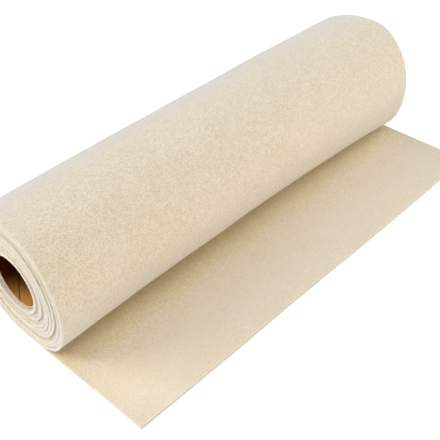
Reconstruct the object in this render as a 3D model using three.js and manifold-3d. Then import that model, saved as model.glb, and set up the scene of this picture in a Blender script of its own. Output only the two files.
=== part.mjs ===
import * as THREE from 'three';
import { mergeVertices } from 'three/addons/utils/BufferGeometryUtils.js';
import Module from 'manifold-3d';

// A roll of thick cream felt on a cardboard core, with its loose end lying in front of it.
// Millimetres. +X runs along the roll, +Z is up, and the loose end lies towards -Y.
// The origin is on the surface, under the middle of the roll's axis.

// Driving dimensions
const FELT_WIDTH = 450;
const FELT_THICKNESS = 2.7;
const ROLL_RADIUS = 64.6;
const TURNS = 12.9;
const LOOSE_END = 140.6;
const CORE_OUTER_RADIUS = 25.5;
const CORE_WALL = 2;
const CORE_RECESS = 1.5;
const CLEARANCE = 0.3;

// How far the soft roll has sunk under its own weight, at its -X end and at its +X end.
// The felt that is pressed away there fills out the two lower flanks.
const SINK = { left: 1.2, right: 3.4 };
const FLANK_FILL = 0.7;
const FLANK_ANGLES = [-42, 222];
const FLANK_SPREAD = 24;

// The roll isn't quite round: its top is pressed flat, most of all at the ends, and in front
// it bears down wide at the ends and is drawn in midway. Angles in degrees from +Y over the top.
const FLAT_TOP = {
  centre: 78, spread: 30, falloff: 3,
  left: -3.5, middle: -0.2, right: -6, along: 3.5,
};
const FRONT_HEEL = {
  centre: 240, spread: 32, falloff: 2,
  left: 3.2, middle: -2.4, right: 6.2, along: 2,
};

// The felt wanders along the core as it is wound, so the turns stand out unevenly at the ends.
// Each row is one slow wave of that shift, counted in turns from the outside.
const WANDER = [
  { amount: -1.1, turnsPerWave: 5.2 },
  { amount: -0.7, turnsPerWave: 2.3 },
  { amount: 0.2, turnsPerWave: 1.15 },
];
const WANDER_FROM = 1.5;

// How far the felt's two long edges reach past half its width: over the top of the roll, where
// the felt leaves the roll, and at its cut edge. The cut edge is a little bowed and slanted, and
// stands a little off the surface midway.
const SPILL = { left: { over: 0.6, roll: 0.5, cut: -0.4 }, right: { over: 1.9, roll: 0.8, cut: -0.4 } };
const CUT_EDGE = { bow: 1.1, slant: 0.5 };
const LIFT = { height: 1.8, centre: -40, halfLength: 120, from: 55 };

// Steps of the meshes
const AROUND = 90;
const ALONG = 9;
const RINGS = 12;
const SHEET_ALONG = 20;
const SHEET_ACROSS = 12;

const CORE_HEIGHT = ROLL_RADIUS - (SINK.left + SINK.right) / 2;
const HOLE_RADIUS = CORE_OUTER_RADIUS + CLEARANCE;
const HALF_WIDTH = FELT_WIDTH / 2;

const FELT_COLOUR = 0xe6d9c0;
const CARDBOARD_COLOUR = 0xa9743c;

const radians = (degrees) => (degrees * Math.PI) / 180;
const mix = (a, b, t) => a + (b - a) * t;

function smooth(t) {
  const s = Math.min(Math.max(t, 0), 1);
  return s * s * (3 - 2 * s);
}

// 1 at the centre angle, falling to 0 away from it, on the circle.
function around(degrees, centre, spread, falloff = 2) {
  const apart = ((degrees - centre + 540) % 360) - 180;
  return Math.exp(-(Math.abs(apart / spread) ** falloff));
}

// How far the section stands out or in there, for the flat top or the heel.
function pressed(shape, degrees, x) {
  const end = x < 0 ? shape.left : shape.right;
  const amount = mix(shape.middle, end, Math.min(Math.abs(x) / HALF_WIDTH, 1) ** shape.along);
  return amount * around(degrees, shape.centre, shape.spread, shape.falloff);
}

// The section that the outermost turn lies on: a circle sunk into the surface,
// flat where it rests, fuller at its lower flanks. 0 degrees is +Y, 90 is up.
function envelopePoint(degrees, x) {
  const sink = mix(SINK.left, SINK.right, x / FELT_WIDTH + 0.5);
  const nearFlank = (flank) => around(degrees, flank, FLANK_SPREAD);
  const fill = FLANK_ANGLES.map(nearFlank).reduce((a, b) => a + b);
  const dents = pressed(FLAT_TOP, degrees, x) + pressed(FRONT_HEEL, degrees, x);
  const radius = ROLL_RADIUS + FLANK_FILL * sink * fill + dents;
  const y = radius * Math.cos(radians(degrees));
  const z = ROLL_RADIUS - sink + radius * Math.sin(radians(degrees));
  return { y, z: Math.max(z, 0) };
}

// A point of the winding: turn 0 is the outside, turn TURNS is the wall of the core's hole.
function windingPoint(degrees, turn, x) {
  const outside = envelopePoint(degrees, x);
  const depth = turn / TURNS;
  return {
    y: mix(outside.y, HOLE_RADIUS * Math.cos(radians(degrees)), depth),
    z: mix(outside.z, CORE_HEIGHT + HOLE_RADIUS * Math.sin(radians(degrees)), depth),
  };
}

// Where the felt's edge lies along X, for the left side, -1, or the right side, 1.
// The winding's edge wanders, and its first turn spills past half the width.
function woundEdge(side, turn) {
  const { over, roll } = side < 0 ? SPILL.left : SPILL.right;
  const spill = roll * smooth(1 - 2 * turn) + over * Math.sin(Math.PI * Math.min(turn, 1)) ** 2;
  const wave = (w) => w.amount * Math.sin((2 * Math.PI * turn) / w.turnsPerWave);
  const wander = WANDER.map(wave).reduce((a, b) => a + b) * smooth(turn / WANDER_FROM);
  return side * (HALF_WIDTH + spill) + wander;
}

// The same for the loose end, from the roll, 0, to its cut edge, 1.
function looseEdge(side, out) {
  const { roll, cut } = side < 0 ? SPILL.left : SPILL.right;
  return side * (HALF_WIDTH + mix(roll, cut, smooth(out)));
}

// How far the loose end's cut edge stands off the surface.
function lift(x, y) {
  const along = smooth(1 - Math.abs(x - LIFT.centre) / LIFT.halfLength);
  const out = smooth((-y - LIFT.from) / (LOOSE_END - LIFT.from));
  return LIFT.height * along * out;
}

// A geometry from rows of points, each row closed on itself, joined row to row,
// with the last row joined to the first.
function closedSkin(rows) {
  const positions = rows.flat(2);
  const count = rows[0].length;
  const index = [];
  rows.forEach((row, r) => {
    const next = ((r + 1) % rows.length) * count;
    row.forEach((point, i) => {
      const a = r * count + i;
      const b = r * count + ((i + 1) % count);
      const c = next + ((i + 1) % count);
      const d = next + i;
      index.push(a, b, c, a, c, d);
    });
  });
  const geometry = new THREE.BufferGeometry();
  geometry.setAttribute('position', new THREE.Float32BufferAttribute(positions, 3));
  geometry.setIndex(index);
  return geometry;
}

// The wound form. Its rows run round the roll: out over the left end, along the outside
// to the right end, and in over that end to the hole again.
function woundForm() {
  const steps = [...Array(AROUND).keys()];
  const degreesAt = (i) => -90 + (360 * i) / AROUND;
  // The last turn comes down onto the loose end and is one with it from there to the bottom.
  const seated = (point, i) => {
    const lying = i > AROUND / 2 && point.z < FELT_THICKNESS + CLEARANCE;
    return lying ? { y: point.y, z: FELT_THICKNESS / 2 } : point;
  };
  const row = (ring, along) =>
    steps.map((i) => {
      const turn = mix(TURNS, i / AROUND, ring / RINGS);
      const x = mix(woundEdge(-1, turn), woundEdge(1, turn), along);
      const { y, z } = seated(windingPoint(degreesAt(i), turn, x), i);
      return [x, y, z];
    });
  const rows = [];
  for (let ring = 0; ring < RINGS; ring += 1) rows.push(row(ring, 0));
  for (let k = 0; k <= ALONG; k += 1) rows.push(row(RINGS, k / ALONG));
  for (let ring = RINGS - 1; ring >= 0; ring -= 1) rows.push(row(ring, 1));
  return closedSkin(rows);
}

// The loose end: a sheet from under the roll to its cut edge.
function looseEnd() {
  const underRoll = 12;
  const rows = [];
  for (let j = 0; j <= SHEET_ACROSS; j += 1) {
    const out = j / SHEET_ACROSS;
    const top = [];
    const bottom = [];
    for (let k = 0; k <= SHEET_ALONG; k += 1) {
      const x = mix(looseEdge(-1, out), looseEdge(1, out), k / SHEET_ALONG);
      const t = x / HALF_WIDTH;
      const reach = LOOSE_END + CUT_EDGE.bow * (1 - t * t) - CUT_EDGE.slant * t;
      const y = mix(underRoll, -reach, out);
      const z = lift(x, y);
      top.push([x, y, z + FELT_THICKNESS]);
      bottom.push([x, y, z]);
    }
    rows.push([...bottom, ...top.reverse()]);
  }
  return cappedSkin(rows);
}

// A geometry from rows of points with a flat cap on its first and last row.
// Each row is a strip: its first half runs out and its second half runs back.
function cappedSkin(rows) {
  const count = rows[0].length;
  const index = [];
  for (let r = 0; r + 1 < rows.length; r += 1) {
    for (let i = 0; i < count; i += 1) {
      const a = r * count + i;
      const b = r * count + ((i + 1) % count);
      index.push(a, b, b + count, a, b + count, a + count);
    }
  }
  const last = (rows.length - 1) * count;
  for (let i = 0; i + 1 < count / 2; i += 1) {
    const across = count - 1 - i;
    index.push(i, across - 1, i + 1, i, across, across - 1);
    index.push(last + i, last + i + 1, last + across - 1, last + i, last + across - 1, last + across);
  }
  const geometry = new THREE.BufferGeometry();
  geometry.setAttribute('position', new THREE.Float32BufferAttribute(rows.flat(2), 3));
  geometry.setIndex(index);
  return geometry;
}

const wasm = await Module();
wasm.setup();

function toSolid(geometry) {
  const bare = geometry.clone();
  bare.deleteAttribute('normal');
  bare.deleteAttribute('uv');
  const merged = mergeVertices(bare);
  return new wasm.Manifold(
    new wasm.Mesh({
      numProp: 3,
      vertProperties: merged.attributes.position.array,
      triVerts: new Uint32Array(merged.index.array),
    }),
  );
}

function toGeometry(solid) {
  const mesh = solid.getMesh();
  const geometry = new THREE.BufferGeometry();
  geometry.setAttribute('position', new THREE.BufferAttribute(mesh.vertProperties, 3));
  geometry.setIndex(new THREE.BufferAttribute(mesh.triVerts, 1));
  return geometry;
}

// The felt is one piece of cloth, so the winding and the loose end are one solid.
function buildFelt() {
  const felt = toSolid(woundForm()).add(toSolid(looseEnd()));
  const material = new THREE.MeshStandardMaterial({
    color: FELT_COLOUR,
    roughness: 0.95,
    metalness: 0,
  });
  const mesh = new THREE.Mesh(toGeometry(felt), material);
  mesh.name = 'felt';
  return mesh;
}

// The cardboard core: an open tube, its ends a little inside the felt's.
function buildCore() {
  const inner = CORE_OUTER_RADIUS - CORE_WALL;
  const half = HALF_WIDTH - CORE_RECESS;
  const profile = [
    new THREE.Vector2(inner, -half),
    new THREE.Vector2(CORE_OUTER_RADIUS, -half),
    new THREE.Vector2(CORE_OUTER_RADIUS, half),
    new THREE.Vector2(inner, half),
    new THREE.Vector2(inner, -half),
  ];
  const material = new THREE.MeshStandardMaterial({
    color: CARDBOARD_COLOUR,
    roughness: 0.85,
    metalness: 0,
  });
  const mesh = new THREE.Mesh(new THREE.LatheGeometry(profile, AROUND), material);
  mesh.name = 'core';
  mesh.rotation.z = -Math.PI / 2;
  mesh.position.z = CORE_HEIGHT;
  return mesh;
}

const group = new THREE.Group();
group.add(buildFelt(), buildCore());

export default group;
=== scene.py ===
import bpy
import bmesh
import math
from mathutils import Matrix, Vector, noise


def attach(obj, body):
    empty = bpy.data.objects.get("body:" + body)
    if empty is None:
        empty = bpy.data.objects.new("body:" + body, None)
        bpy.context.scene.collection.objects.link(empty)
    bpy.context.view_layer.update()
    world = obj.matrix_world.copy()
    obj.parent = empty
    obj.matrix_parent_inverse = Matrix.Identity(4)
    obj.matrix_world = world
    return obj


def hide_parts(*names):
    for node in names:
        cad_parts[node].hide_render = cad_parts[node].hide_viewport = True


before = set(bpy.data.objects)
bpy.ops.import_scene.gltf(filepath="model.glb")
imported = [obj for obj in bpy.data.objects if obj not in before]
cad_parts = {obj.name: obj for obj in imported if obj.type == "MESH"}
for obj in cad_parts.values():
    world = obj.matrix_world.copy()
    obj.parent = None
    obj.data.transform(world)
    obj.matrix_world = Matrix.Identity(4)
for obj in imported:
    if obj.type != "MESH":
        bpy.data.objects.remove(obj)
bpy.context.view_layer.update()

# The camera stands in front of the roll's left end and looks down over it, a little turned in
# the hand. Its place and its lens come from the photograph's outlines.
CAMERA_PLACE = Vector((-0.4305, -0.4527, 0.4970))
CAMERA_YAW = math.radians(46.17)
CAMERA_DOWN = math.radians(39.32)
CAMERA_ROLL = math.radians(-3.45)
CAMERA_LENS = 66.28

looking = Vector((math.cos(CAMERA_DOWN) * math.cos(CAMERA_YAW),
                  math.cos(CAMERA_DOWN) * math.sin(CAMERA_YAW),
                  -math.sin(CAMERA_DOWN)))
level_right = Vector((math.sin(CAMERA_YAW), -math.cos(CAMERA_YAW), 0))
level_up = level_right.cross(looking)
right = math.cos(CAMERA_ROLL) * level_right + math.sin(CAMERA_ROLL) * level_up
up = math.cos(CAMERA_ROLL) * level_up - math.sin(CAMERA_ROLL) * level_right
camera_data = bpy.data.cameras.new("camera")
camera_data.sensor_width = 36
camera_data.lens = CAMERA_LENS
camera_data.clip_start = 0.01
camera = bpy.data.objects.new("camera", camera_data)
camera.matrix_world = Matrix((
    (right.x, up.x, -looking.x, CAMERA_PLACE.x),
    (right.y, up.y, -looking.y, CAMERA_PLACE.y),
    (right.z, up.z, -looking.z, CAMERA_PLACE.z),
    (0, 0, 0, 1)))
bpy.context.scene.collection.objects.link(camera)
bpy.context.scene.camera = camera

# The felt: one length of pressed wool felt, cut 450 mm wide, wound round its core from the
# inner end to the outside and left with its last stretch lying on the table. It is made as a
# flat grid that is rolled up on the winding's path and then given the felt's thickness.
FELT_WIDTH = 0.450
FELT_THICKNESS = 0.0027
ROLL_RADIUS = 0.0646
TURNS = 12.9
LOOSE_END = 0.1406
HOLE_RADIUS = 0.0260
CORE_HEIGHT = 0.0623

# The roll has sunk under its own weight, more at its right end, which fills out its lower
# flanks. Its top is pressed flat, most of all at the ends, and in front it bears down wide at
# the ends and is drawn in midway: the centre and the spread in degrees, the falloff round the
# section and along the roll, then metres at the left end, midway and at the right end.
SINK_LEFT = 0.0012
SINK_RIGHT = 0.0034
FLANK_FILL = 0.7
FLANK_ANGLES = (222, -42)
FLANK_SPREAD = 24
FLAT_TOP = (78, 30, 3, 3.5, -0.0035, -0.0002, -0.0060)
FRONT_HEEL = (240, 32, 2, 2, 0.0032, -0.0024, 0.0062)

# How the cloth's edge wanders along the core as it is wound: metres and turns for each wave. It
# wanders in full from the second turn on.
WANDER = [(-0.0011, 5.2), (-0.0007, 2.3), (0.0002, 1.15), (0.00018, 0.83), (0.0001, 0.41)]
WANDER_FULL_AT = 1.5

# How far the long edges reach past half the width: over the top of the roll, where the felt
# leaves the roll, and at the cut edge.
SPILL_LEFT = (0.0006, 0.0005, -0.0004)
SPILL_RIGHT = (0.0019, 0.0008, -0.0004)

# How loosely the turns lie: waves of radius, metres and turns for each wave, which set in over
# some turns from either end of the winding, and a slack low in front, where the inner turns
# hang away from the core.
LOOSE_WAVES = [(0.00030, 0.489), (0.00020, 0.342), (0.00005, 2.7), (0.00008, 0.205)]
WAVES_SET_IN_OVER = 1.5
SLACK = 0.010
SLACK_ANGLE = 232
SLACK_SPREAD = 55

# The turns all but touch, so the felt is as thick as its turn has room, from a quarter turn in,
# and it thins out over its last turn, which is pressed on to the core.
THICKENS_OVER = 0.25
TURN_GAP = 0.00012
THICKEST = 0.0040
INNER_END = 0.0004

# Soft swells and hollows of the whole roll, and of the loose end: height and length, metres.
# They set in above the place where the roll rests, and where the loose end comes out from it.
UNEVEN = 0.00035
UNEVEN_LOOSE = 0.0004
UNEVEN_LENGTH = 0.045
EVEN_UP_TO = 0.004
UNEVEN_ROLL_FADE = 0.02
EVEN_OUT_TO = 0.02
UNEVEN_LOOSE_FADE = 0.03

# The loose end's cut edge is a little bowed, and its middle stands off the table.
CUT_BOW = 0.0011
CUT_SLANT = 0.0005
LIFT = 0.0018
LIFT_CENTRE = -0.040
LIFT_HALF_LENGTH = 0.120
LIFT_FROM = 0.055

# Steps of the grid: the inner turns show only at their edges, so they need few faces across.
STEPS_PER_TURN = 132
LOOSE_STEPS = 44
ACROSS = 8
OUTER_TURNS = 1.12
OUTER_CUTS = 5
EDGE_ROUNDING = 0.0006
EDGE_STEPS = 3
EDGE_SHARPER_THAN = math.radians(50)


def mix(a, b, t):
    return a + (b - a) * t


def smooth(t):
    t = min(max(t, 0.0), 1.0)
    return t * t * (3 - 2 * t)


def around(degrees, centre, spread, falloff=2):
    """1 at the centre angle, falling to 0 away from it, on the circle."""
    apart = (degrees - centre + 180) % 360 - 180
    return math.exp(-abs(apart / spread) ** falloff)


def pressed(shape, degrees, x):
    """How far the flat top or the heel moves the section out or in at a place."""
    centre, spread, falloff, along, left, middle, right = shape
    end = left if x < 0 else right
    amount = mix(middle, end, min(abs(2 * x / FELT_WIDTH), 1) ** along)
    return amount * around(degrees, centre, spread, falloff)


def envelope(degrees, x):
    """The section that the outermost turn lies on, flat where it rests."""
    sink = mix(SINK_LEFT, SINK_RIGHT, x / FELT_WIDTH + 0.5)
    fill = sum(around(degrees, flank, FLANK_SPREAD) for flank in FLANK_ANGLES)
    radius = ROLL_RADIUS + FLANK_FILL * sink * fill
    radius += pressed(FLAT_TOP, degrees, x) + pressed(FRONT_HEEL, degrees, x)
    y = radius * math.cos(math.radians(degrees))
    z = ROLL_RADIUS - sink + radius * math.sin(math.radians(degrees))
    return y, max(z, 0.0)


def uneven(place, height):
    """A soft swell or hollow at a place, up to the height."""
    return height * noise.noise(place / UNEVEN_LENGTH)


def wound(turn, x):
    """A point of the felt's outer face, so many turns in from the outside."""
    degrees = -90 + 360 * turn
    depth = turn / TURNS
    slack = SLACK * around(degrees, SLACK_ANGLE, SLACK_SPREAD)
    depth -= slack * math.sin(math.pi * depth) * smooth(2 * depth)
    outside_y, outside_z = envelope(degrees, x)
    hole_y = HOLE_RADIUS * math.cos(math.radians(degrees))
    hole_z = CORE_HEIGHT + HOLE_RADIUS * math.sin(math.radians(degrees))
    y = mix(outside_y, hole_y, depth)
    z = mix(outside_z, hole_z, depth)
    inside = smooth((turn - 1) / WAVES_SET_IN_OVER) * smooth((TURNS - turn) / WAVES_SET_IN_OVER)
    swell = inside * sum(a * math.sin(2 * math.pi * turn / w) for a, w in LOOSE_WAVES)
    clear_of_table = smooth((z - EVEN_UP_TO) / UNEVEN_ROLL_FADE)
    swell += uneven(Vector((x, y, z)), UNEVEN) * clear_of_table * smooth(2 - 2 * depth)
    out = Vector((0, hole_y, hole_z - CORE_HEIGHT)).normalized()
    return Vector((x, y, z)) + out * swell


def thickness(turn, x):
    """The felt's thickness so many turns in, which fits the room that its turn has."""
    degrees = -90 + 360 * turn
    outside_y, outside_z = envelope(degrees, x)
    room = math.hypot(outside_y - HOLE_RADIUS * math.cos(math.radians(degrees)),
                      outside_z - CORE_HEIGHT - HOLE_RADIUS * math.sin(math.radians(degrees)))
    in_roll = min(room / TURNS - TURN_GAP, THICKEST, room * (1 - turn / TURNS) + INNER_END)
    return mix(FELT_THICKNESS, in_roll, smooth(turn / THICKENS_OVER))


def wound_edge(side, turn):
    """Where the cloth's left or right edge lies along the roll, so many turns in."""
    over, at_roll, _ = SPILL_LEFT if side < 0 else SPILL_RIGHT
    spill = at_roll * smooth(1 - 2 * turn) + over * math.sin(math.pi * min(turn, 1)) ** 2
    wander = sum(a * math.sin(2 * math.pi * turn / w) for a, w in WANDER)
    return side * (FELT_WIDTH / 2 + spill) + wander * smooth(turn / WANDER_FULL_AT)


def loose_edge(side, out):
    """Where the loose end's left or right edge lies, from 0 at the roll to 1 at the cut edge."""
    _, at_roll, at_cut = SPILL_LEFT if side < 0 else SPILL_RIGHT
    return side * (FELT_WIDTH / 2 + mix(at_roll, at_cut, smooth(out)))


def lift(x, y):
    """How far the loose end stands off the table."""
    along = smooth(1 - abs(x - LIFT_CENTRE) / LIFT_HALF_LENGTH)
    out = smooth((-y - LIFT_FROM) / (LOOSE_END - LIFT_FROM))
    return LIFT * along * out


def loose(out, share):
    """A point of the loose end's under face: out is 0 at the roll and 1 at the cut edge."""
    x = mix(loose_edge(-1, out), loose_edge(1, out), share)
    t = 2 * x / FELT_WIDTH
    y = (-LOOSE_END - CUT_BOW * (1 - t * t) + CUT_SLANT * t) * out
    clear_of_roll = smooth((-y - EVEN_OUT_TO) / UNEVEN_LOOSE_FADE)
    ripple = uneven(Vector((x, y, 0)), UNEVEN_LOOSE) * clear_of_roll
    return Vector((x, y, lift(x, y) + max(ripple, 0)))


# Flat, the grid's X is the share across the width and its Y counts steps from the cut edge. The
# stretch that shows, the loose end and the outermost turn, is cut finer across.
wound_steps = round(TURNS * STEPS_PER_TURN)
all_steps = LOOSE_STEPS + wound_steps
felt_mesh = bmesh.new()
bmesh.ops.create_grid(felt_mesh, x_segments=ACROSS, y_segments=all_steps, size=0.5)
for v in felt_mesh.verts:
    v.co = Vector((v.co.x + 0.5, round((v.co.y + 0.5) * all_steps), 0))
outer_steps = LOOSE_STEPS + round(OUTER_TURNS * STEPS_PER_TURN)
crosswise = [e for e in felt_mesh.edges
             if abs(e.verts[0].co.x - e.verts[1].co.x) > 0.5 / ACROSS
             and max(v.co.y for v in e.verts) <= outer_steps]
bmesh.ops.subdivide_edges(felt_mesh, edges=crosswise, cuts=OUTER_CUTS, use_grid_fill=True)


def on_the_felt(share, step):
    """A point of the cloth in its place: the share across the width, steps from the cut edge."""
    if step < LOOSE_STEPS:
        return loose(1 - step / LOOSE_STEPS, share)
    turn = (step - LOOSE_STEPS) / STEPS_PER_TURN
    return wound(turn, mix(wound_edge(-1, turn), wound_edge(1, turn), share))


# The length along the cloth, which its UV map keeps in metres.
middle_line = [on_the_felt(0.5, step) for step in range(all_steps + 1)]
length_at = [0.0]
for before, after in zip(middle_line, middle_line[1:]):
    length_at.append(length_at[-1] + (after - before).length)
felt_length = length_at[-1]

uv_layer = felt_mesh.loops.layers.uv.new("cloth")
for face in felt_mesh.faces:
    for loop in face.loops:
        share, step = loop.vert.co.x, loop.vert.co.y
        loop[uv_layer].uv = (share * FELT_WIDTH, length_at[round(step)])
thickness_layer = felt_mesh.verts.layers.deform.verify()
for v in felt_mesh.verts:
    turn = max((v.co.y - LOOSE_STEPS) / STEPS_PER_TURN, 0)
    v.co = on_the_felt(v.co.x, v.co.y)
    v[thickness_layer][0] = thickness(turn, v.co.x) / THICKEST
for face in felt_mesh.faces:
    face.smooth = True
felt_data = bpy.data.meshes.new("felt_sheet")
felt_mesh.to_mesh(felt_data)
felt_mesh.free()
felt = bpy.data.objects.new("felt_sheet", felt_data)
bpy.context.scene.collection.objects.link(felt)

thicken = felt.modifiers.new("thickness", "SOLIDIFY")
thicken.thickness = THICKEST
thicken.vertex_group = felt.vertex_groups.new(name="thickness").name
thicken.offset = 1
thicken.use_even_offset = True
rounding = felt.modifiers.new("rounded cut edges", "BEVEL")
rounding.width = EDGE_ROUNDING
rounding.segments = EDGE_STEPS
rounding.use_clamp_overlap = False
rounding.limit_method = "ANGLE"
rounding.angle_limit = EDGE_SHARPER_THAN


def add(tree, kind, feeds=None, values=None, **settings):
    """A shader node with its settings, its inputs' own values, and what feeds its inputs."""
    made = tree.nodes.new(kind)
    for name, value in settings.items():
        setattr(made, name, value)
    for name, value in (values or {}).items():
        made.inputs[name].default_value = value
    for name, source in (feeds or {}).items():
        tree.links.new(source, made.inputs[name])
    return made


def calculate(tree, operation, *terms):
    """A Math node; each term is a number or another node's output."""
    made = add(tree, "ShaderNodeMath", operation=operation)
    for i, term in enumerate(terms):
        if isinstance(term, (int, float)):
            made.inputs[i].default_value = term
        else:
            tree.links.new(term, made.inputs[i])
    return made.outputs["Value"]


def fade(tree, value, start, end, at_start, at_end):
    """A soft step of a value, from one number to another."""
    made = add(tree, "ShaderNodeMapRange", {"Value": value}, {
        "From Min": start, "From Max": end, "To Min": at_start, "To Max": at_end},
        interpolation_type="SMOOTHSTEP")
    return made.outputs["Result"]


def mix_colours(tree, share, first, second, how="MIX"):
    """A mix of two colours by a share from 0 to 1; each is a colour or another node's output."""
    made = add(tree, "ShaderNodeMix", data_type="RGBA", blend_type=how)
    share_socket, colour_sockets, mixed = made.inputs[0], made.inputs[6:8], made.outputs[2]
    tree.links.new(share, share_socket)
    for socket, colour in zip(colour_sockets, (first, second)):
        if isinstance(colour, tuple):
            socket.default_value = colour
        else:
            tree.links.new(colour, socket)
    return mixed


# The fibres that pressed felt and kraft board both show: a fine grain, coarser clots, and
# single hairs, which run where a third noise crosses its middle value. Each is 0 to 1.
HAIR_BREADTH = 0.03
fibres = bpy.data.node_groups.new("fibres", "ShaderNodeTree")
fibres.interface.new_socket("Vector", in_out="INPUT", socket_type="NodeSocketVector")
for name in ("Grain Scale", "Clot Scale", "Hair Scale"):
    fibres.interface.new_socket(name, in_out="INPUT", socket_type="NodeSocketFloat")
for name in ("Grain", "Clots", "Hairs"):
    fibres.interface.new_socket(name, in_out="OUTPUT", socket_type="NodeSocketFloat")
fibres_in = add(fibres, "NodeGroupInput")
fibres_out = add(fibres, "NodeGroupOutput")


def fibre_noise(scale, detail, roughness, distortion):
    made = add(fibres, "ShaderNodeTexNoise",
               {"Vector": fibres_in.outputs["Vector"], "Scale": fibres_in.outputs[scale]},
               {"Detail": detail, "Roughness": roughness, "Distortion": distortion})
    return made.outputs["Fac"]


grain = fibre_noise("Grain Scale", detail=3, roughness=0.65, distortion=0.4)
clots = fibre_noise("Clot Scale", detail=2, roughness=0.5, distortion=0.6)
hair_noise = fibre_noise("Hair Scale", detail=1, roughness=0.4, distortion=1.6)
off_middle = calculate(fibres, "ABSOLUTE", calculate(fibres, "SUBTRACT", hair_noise, 0.5))
fibres.links.new(grain, fibres_out.inputs["Grain"])
fibres.links.new(clots, fibres_out.inputs["Clots"])
fibres.links.new(fade(fibres, off_middle, 0, HAIR_BREADTH, 1, 0), fibres_out.inputs["Hairs"])

# The felt's finish: cream wool, whiter where it is cut, partly its own colour and partly painted
# light, with painted shade darkening its cut end on the table. Its last stretch was pressed flat
# there, so it is smoother, and close under the roll the cloth is darkened a little by painted
# shade.
FELT_HOLLOWS = (0.64, 0.500, 0.290, 1)
FELT_FIBRES = (0.87, 0.770, 0.600, 1)
# The painted shade that deepens the cloth's colour close under the roll.
FELT_SHADE_BY_ROLL = (0.96, 0.92, 0.75, 1)
# The cut colours are lighter than the faces: partly the cut felt's own colour, partly painted
# light.
FELT_CUT_HOLLOWS = (0.73, 0.605, 0.390, 1)
FELT_CUT_FIBRES = (0.93, 0.825, 0.615, 1)
# The painted shade on the cut end, where it stands on the table.
FELT_CUT_END_SHADE = (0.60, 0.52, 0.40, 1)
GRAIN_SCALE = 1000
CLOT_SCALE = 230
HAIR_SCALE = 330
CLOUD_SCALE = 26
FELT_BUMP = 0.0011

# How much of the relief each kind of fibre makes, and how the relief and slow clouds set the
# tone between hollows and fibres.
GRAIN_SHARE = 0.90
CLOT_SHARE = 0.18
HAIR_SHARE = 0.10
RELIEF_MIDDLE = 0.56
RELIEF_CONTRAST = 3.8
CLOUD_CONTRAST = 0.25
TONE_LEVEL = 0.44

# Where each part of the finish fades out or in: metres of cloth from its edge or its cut end.
CUT_EDGE_FADE = (0.0005, 0.0014)
CUT_END_SHADE_FADE = (0.0001, 0.0004)
SMOOTHER_FADE = (0.045, 0.090)
SMOOTHER = 0.47
# Where the painted shade by the roll sets in, and where it ends under the roll.
SHADE_BY_ROLL_FADE = (0.072, 0.090)
SHADE_OUT_UNDER_ROLL_FADE = (LOOSE_END, LOOSE_END + 0.02)

felt_material = bpy.data.materials.new("felt")
felt_material.use_nodes = True
tree = felt_material.node_tree
on_roll = add(tree, "ShaderNodeTexCoord").outputs["Object"]
wool = add(tree, "ShaderNodeGroup", node_tree=fibres)
tree.links.new(on_roll, wool.inputs["Vector"])
wool.inputs["Grain Scale"].default_value = GRAIN_SCALE
wool.inputs["Clot Scale"].default_value = CLOT_SCALE
wool.inputs["Hair Scale"].default_value = HAIR_SCALE
clouds = add(tree, "ShaderNodeTexNoise", {"Vector": on_roll},
             {"Scale": CLOUD_SCALE, "Detail": 2}).outputs["Fac"]

cloth = add(tree, "ShaderNodeUVMap", uv_map="cloth").outputs["UV"]
on_cloth = add(tree, "ShaderNodeSeparateXYZ", {"Vector": cloth}).outputs
from_side = calculate(tree, "PINGPONG", on_cloth["X"], FELT_WIDTH / 2)
from_end = calculate(tree, "PINGPONG", on_cloth["Y"], felt_length / 2)
from_edge = calculate(tree, "MINIMUM", from_side, from_end)
cut_edge = fade(tree, from_edge, *CUT_EDGE_FADE, 1, 0)
# Painted shade on the cut end by the table.
cut_end_shade = fade(tree, from_end, *CUT_END_SHADE_FADE, 1, 0)
roughened = fade(tree, on_cloth["Y"], *SMOOTHER_FADE, SMOOTHER, 1)
# Painted shade: the cloth close under the roll is darkened.
painted_shade_by_roll = calculate(tree, "MULTIPLY", fade(tree, on_cloth["Y"], *SHADE_BY_ROLL_FADE, 0, 1),
                    fade(tree, on_cloth["Y"], *SHADE_OUT_UNDER_ROLL_FADE, 1, 0))

relief = calculate(tree, "ADD",
                   calculate(tree, "MULTIPLY", wool.outputs["Grain"], GRAIN_SHARE),
                   calculate(tree, "MULTIPLY", wool.outputs["Clots"], CLOT_SHARE))
relief = calculate(tree, "ADD", relief,
                   calculate(tree, "MULTIPLY", wool.outputs["Hairs"], HAIR_SHARE))
relief = calculate(tree, "SUBTRACT", relief, RELIEF_MIDDLE)
relief = calculate(tree, "MULTIPLY", relief, roughened)
tone = calculate(tree, "ADD", calculate(tree, "MULTIPLY", relief, RELIEF_CONTRAST),
                 calculate(tree, "MULTIPLY", clouds, CLOUD_CONTRAST))
tone = calculate(tree, "ADD", tone, TONE_LEVEL)

face_colour = mix_colours(tree, tone, FELT_HOLLOWS, FELT_FIBRES)
face_colour = mix_colours(tree, painted_shade_by_roll, face_colour, FELT_SHADE_BY_ROLL, "MULTIPLY")
cut_colour = mix_colours(tree, tone, FELT_CUT_HOLLOWS, FELT_CUT_FIBRES)
cut_colour = mix_colours(tree, cut_end_shade, cut_colour, FELT_CUT_END_SHADE)
felt_colour = mix_colours(tree, cut_edge, face_colour, cut_colour)
bumps = add(tree, "ShaderNodeBump", {"Height": relief}, {"Strength": 0.6, "Distance": FELT_BUMP})

shader = tree.nodes["Principled BSDF"]
tree.links.new(felt_colour, shader.inputs["Base Color"])
tree.links.new(bumps.outputs["Normal"], shader.inputs["Normal"])
shader.inputs["Roughness"].default_value = 0.95
shader.inputs["Specular IOR Level"].default_value = 0.2
shader.inputs["Sheen Weight"].default_value = 1.0
shader.inputs["Sheen Roughness"].default_value = 0.6
felt.data.materials.append(felt_material)

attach(felt, "root")
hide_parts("felt")

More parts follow.
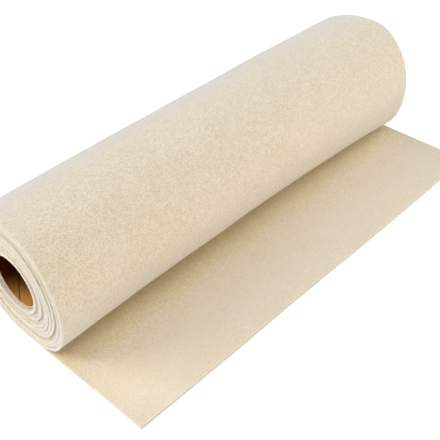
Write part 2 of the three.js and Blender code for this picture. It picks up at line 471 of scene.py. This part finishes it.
# The core: a cardboard tube, wound from glued plies of kraft paper on a slant and cut to length
# with a saw. Its outer plies are turned here as one wall, and its innermost ply is a strip of
# its own, whose edges don't quite meet, so a dark seam runs round inside the bore.
CORE_LENGTH = 0.447
CORE_OUTER_RADIUS = 0.0255
CORE_BORE_RADIUS = 0.0235
INNER_PLY = 0.0004
WALL_BORE_RADIUS = CORE_BORE_RADIUS + INNER_PLY
CUT_ROUNDING = 0.0003
CORE_STEPS = 96
PLY_LEAD = 0.096
PLY_OVERRUN = 0.05
SEAM_GAP = 0.0010
SEAM_AT_LEFT_END = math.radians(-86)
TOUCHING = 1e-5

core_mesh = bmesh.new()
corners = [core_mesh.verts.new((x, 0, CORE_HEIGHT + radius)) for x, radius in (
    (-CORE_LENGTH / 2, WALL_BORE_RADIUS), (CORE_LENGTH / 2, WALL_BORE_RADIUS),
    (CORE_LENGTH / 2, CORE_OUTER_RADIUS), (-CORE_LENGTH / 2, CORE_OUTER_RADIUS))]
sides = [core_mesh.edges.new((corners[i - 1], corners[i])) for i in range(4)]
bmesh.ops.spin(core_mesh, geom=corners + sides, cent=(0, 0, CORE_HEIGHT), axis=(1, 0, 0),
               angle=math.tau, steps=CORE_STEPS, use_merge=True)
bmesh.ops.recalc_face_normals(core_mesh, faces=core_mesh.faces)


def from_axis(v):
    """How far a vertex lies from the core's axis."""
    return math.hypot(v.co.y, v.co.z - CORE_HEIGHT)


outer_rims = [e for e in core_mesh.edges
              if abs(e.verts[0].co.x - e.verts[1].co.x) < TOUCHING
              and all(abs(from_axis(v) - CORE_OUTER_RADIUS) < TOUCHING for v in e.verts)]
bmesh.ops.bevel(core_mesh, geom=outer_rims, offset=CUT_ROUNDING, offset_type="OFFSET",
                segments=2, profile=0.5, affect="EDGES", material=-1)
for face in core_mesh.faces:
    on_sawn_end = abs(face.normal.x) > 0.9
    face.smooth = not on_sawn_end
core_data = bpy.data.meshes.new("core_wall")
core_mesh.to_mesh(core_data)
core_mesh.free()
core_wall = bpy.data.objects.new("core_wall", core_data)
bpy.context.scene.collection.objects.link(core_wall)

# The innermost ply is a flat strip, wound up and then cut off square at both ends.
first_turn = -1 - PLY_OVERRUN
last_turn = CORE_LENGTH / PLY_LEAD + PLY_OVERRUN
ply_steps = round((last_turn - first_turn) * CORE_STEPS)
ply_mesh = bmesh.new()
bmesh.ops.create_grid(ply_mesh, x_segments=ply_steps, y_segments=2, size=0.5)
ply_uv = ply_mesh.loops.layers.uv.new("strip")
strip_length = math.hypot(math.tau * CORE_BORE_RADIUS, PLY_LEAD) * (last_turn - first_turn)
for face in ply_mesh.faces:
    face.smooth = True
    for loop in face.loops:
        loop[ply_uv].uv = ((loop.vert.co.x + 0.5) * strip_length, loop.vert.co.y * PLY_LEAD)
for v in ply_mesh.verts:
    turn = mix(first_turn, last_turn, v.co.x + 0.5)
    across = mix(SEAM_GAP / 2, PLY_LEAD - SEAM_GAP / 2, v.co.y + 0.5)
    angle = SEAM_AT_LEFT_END + math.tau * turn
    v.co = Vector((-CORE_LENGTH / 2 + PLY_LEAD * turn + across,
                   CORE_BORE_RADIUS * math.cos(angle),
                   CORE_HEIGHT + CORE_BORE_RADIUS * math.sin(angle)))
for side in (-1, 1):
    whole_strip = ply_mesh.verts[:] + ply_mesh.edges[:] + ply_mesh.faces[:]
    bmesh.ops.bisect_plane(ply_mesh, geom=whole_strip, dist=1e-6,
                           plane_co=(side * CORE_LENGTH / 2, 0, 0), plane_no=(side, 0, 0),
                           clear_outer=True)
ply_data = bpy.data.meshes.new("core_inner_ply")
ply_mesh.to_mesh(ply_data)
ply_mesh.free()
core_inner_ply = bpy.data.objects.new("core_inner_ply", ply_data)
bpy.context.scene.collection.objects.link(core_inner_ply)
ply_thickness = core_inner_ply.modifiers.new("ply", "SOLIDIFY")
ply_thickness.thickness = INNER_PLY
ply_thickness.offset = 1
ply_edges = core_inner_ply.modifiers.new("sharp edges", "EDGE_SPLIT")
ply_edges.split_angle = math.radians(40)

# Kraft board: brown and matte, with the sawn ends pale and showing the plies as fine rings. Its
# colour is darkened with painted shade up the bore's sides, away from its mouth, and in the
# seam.
KRAFT_DARK = (0.34, 0.118, 0.018, 1)
KRAFT_LIGHT = (0.92, 0.465, 0.112, 1)
KRAFT_IN_SHADE = (0.070, 0.011, 0.001, 1)
SAWN_DARK = (0.62, 0.44, 0.29, 1)
SAWN_LIGHT = (0.86, 0.70, 0.53, 1)
KRAFT_GRAIN_SCALE = 900
KRAFT_CLOT_SCALE = 160
KRAFT_HAIR_SCALE = 120
STREAK_SCALE = (25, 700, 1)
KRAFT_GRAIN_SHARE = 0.5
STREAK_SHARE = 1.1
KRAFT_LEVEL = 0.3
RINGS_PER_METRE = 1 / INNER_PLY
RING_SHARE = 0.4
SAWN_FADE = (0.0002, 0.0005)
SHADE_DEPTH = 0.025
LIT_AT_DEPTH = 0.5
SHADE_UP_FADE = (math.radians(4), math.radians(70))
LIT_IN_SEAM = 0.25
SEAM_FADE = (CORE_BORE_RADIUS + 0.0001, CORE_BORE_RADIUS + 0.0003)

core_material = bpy.data.materials.new("kraft board")
core_material.use_nodes = True
tree = core_material.node_tree
on_core = add(tree, "ShaderNodeTexCoord").outputs["Object"]
kraft = add(tree, "ShaderNodeGroup", node_tree=fibres)
tree.links.new(on_core, kraft.inputs["Vector"])
kraft.inputs["Grain Scale"].default_value = KRAFT_GRAIN_SCALE
kraft.inputs["Clot Scale"].default_value = KRAFT_CLOT_SCALE
kraft.inputs["Hair Scale"].default_value = KRAFT_HAIR_SCALE

place = add(tree, "ShaderNodeSeparateXYZ", {"Vector": on_core}).outputs
from_cut = calculate(tree, "SUBTRACT", CORE_LENGTH / 2, calculate(tree, "ABSOLUTE", place["X"]))
sawn = fade(tree, from_cut, *SAWN_FADE, 1, 0)
height = calculate(tree, "SUBTRACT", place["Z"], CORE_HEIGHT)
radius = calculate(tree, "SQRT", calculate(tree, "ADD",
                                           calculate(tree, "MULTIPLY", place["Y"], place["Y"]),
                                           calculate(tree, "MULTIPLY", height, height)))
rings = calculate(tree, "FRACT", calculate(tree, "MULTIPLY", radius, RINGS_PER_METRE))

on_strip = add(tree, "ShaderNodeUVMap", uv_map="strip").outputs["UV"]
drawn_out = add(tree, "ShaderNodeMapping", {"Vector": on_strip}, {"Scale": STREAK_SCALE})
streaks = add(tree, "ShaderNodeTexNoise", {"Vector": drawn_out.outputs["Vector"]},
              {"Scale": 1, "Detail": 3, "Roughness": 0.6}).outputs["Fac"]
fibre_tone = calculate(tree, "ADD",
                       calculate(tree, "MULTIPLY", kraft.outputs["Grain"], KRAFT_GRAIN_SHARE),
                       calculate(tree, "MULTIPLY", streaks, STREAK_SHARE))
fibre_tone = calculate(tree, "SUBTRACT", fibre_tone, KRAFT_LEVEL)
sawn_tone = calculate(tree, "ADD", calculate(tree, "MULTIPLY", rings, RING_SHARE),
                      calculate(tree, "MULTIPLY", fibre_tone, 1 - RING_SHARE))

# Painted shade: the bore's wall darkens up its sides, away from its mouth, and in the seam.
up_the_side = calculate(tree, "ARCTAN2", calculate(tree, "ABSOLUTE", place["Y"]),
                        calculate(tree, "MULTIPLY", height, -1))
lit = calculate(tree, "MULTIPLY", fade(tree, from_cut, 0, SHADE_DEPTH, 1, LIT_AT_DEPTH),
                fade(tree, up_the_side, *SHADE_UP_FADE, 1, 0))
lit = calculate(tree, "MULTIPLY", lit, fade(tree, radius, *SEAM_FADE, 1, LIT_IN_SEAM))

kraft_colour = mix_colours(tree, fibre_tone, KRAFT_DARK, KRAFT_LIGHT)
kraft_colour = mix_colours(tree, lit, KRAFT_IN_SHADE, kraft_colour)
sawn_colour = mix_colours(tree, sawn_tone, SAWN_DARK, SAWN_LIGHT)
board_colour = mix_colours(tree, sawn, kraft_colour, sawn_colour)
bumps = add(tree, "ShaderNodeBump", {"Height": fibre_tone},
            {"Strength": 0.35, "Distance": 0.0003})

shader = tree.nodes["Principled BSDF"]
tree.links.new(board_colour, shader.inputs["Base Color"])
tree.links.new(bumps.outputs["Normal"], shader.inputs["Normal"])
shader.inputs["Roughness"].default_value = 0.85
shader.inputs["Specular IOR Level"].default_value = 0.03
for piece in (core_wall, core_inner_ply):
    piece.data.materials.append(core_material)
    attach(piece, "root")
    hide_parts("core")

# The table top: plain, white and overexposed in the photograph, so it glows a little, and more
# to the camera than to the felt.
FLOOR_SIZE = 2.4
FLOOR_WHITE = (0.9, 0.9, 0.9, 1)
FLOOR_GLOW = 0.18
FLOOR_GLOW_SEEN = 0.50
floor_mesh = bmesh.new()
bmesh.ops.create_grid(floor_mesh, x_segments=1, y_segments=1, size=FLOOR_SIZE / 2)
floor_data = bpy.data.meshes.new("table_top")
floor_mesh.to_mesh(floor_data)
floor_mesh.free()
floor = bpy.data.objects.new("table_top", floor_data)
bpy.context.scene.collection.objects.link(floor)
floor_material = bpy.data.materials.new("white table top")
floor_material.use_nodes = True
tree = floor_material.node_tree
seen = add(tree, "ShaderNodeLightPath").outputs["Is Camera Ray"]
glow = fade(tree, seen, 0, 1, FLOOR_GLOW, FLOOR_GLOW_SEEN)
shader = tree.nodes["Principled BSDF"]
shader.inputs["Base Color"].default_value = FLOOR_WHITE
shader.inputs["Roughness"].default_value = 0.9
shader.inputs["Emission Color"].default_value = (1, 1, 1, 1)
tree.links.new(glow, shader.inputs["Emission Strength"])
floor.data.materials.append(floor_material)

# The room behind is white to look at, but gives almost no light of its own.
ROOM_LIGHT = 0.03
world = bpy.data.worlds.new("studio")
world.use_nodes = True
tree = world.node_tree
seen = add(tree, "ShaderNodeLightPath").outputs["Is Camera Ray"]
room = tree.nodes["Background"]
room.inputs["Color"].default_value = (1, 1, 1, 1)
tree.links.new(fade(tree, seen, 0, 1, ROOM_LIGHT, 1), room.inputs["Strength"])
bpy.context.scene.world = world

# The light: six large square softboxes that stand round the roll and above it, the strongest
# ones at its left end, all turned towards the middle of the roll.
LAMP_SIZE = 0.9
LAMPS_LOOK_AT = Vector((0, 0, 0.03))


def softbox(name, place, power, colour):
    data = bpy.data.lights.new(name, "AREA")
    data.shape = "SQUARE"
    data.size = LAMP_SIZE
    data.energy = power
    data.color = colour
    lamp = bpy.data.objects.new(name, data)
    lamp.location = place
    lamp.rotation_euler = (LAMPS_LOOK_AT - Vector(place)).to_track_quat("-Z", "Y").to_euler()
    bpy.context.scene.collection.objects.link(lamp)


softbox("front left", (-0.6, -0.6, 1.6), 14.2, (0.85, 0.90, 1))
softbox("back left", (-1.2, 0.8, 0.95), 16.4, (0.99, 0.97, 0.955))
softbox("right front", (1.2, -1.1, 0.8), 12.2, (1, 0.93, 0.80))
softbox("right", (1.5, -0.3, 0.9), 4.1, (0.77, 0.86, 1))
softbox("overhead", (0, 0.4, 1.6), 4.7, (0.73, 0.83, 1))
softbox("front", (0.1, -1.5, 0.45), 4.4, (1, 0.87, 0.66))

bpy.context.scene.view_settings.view_transform = "Standard"
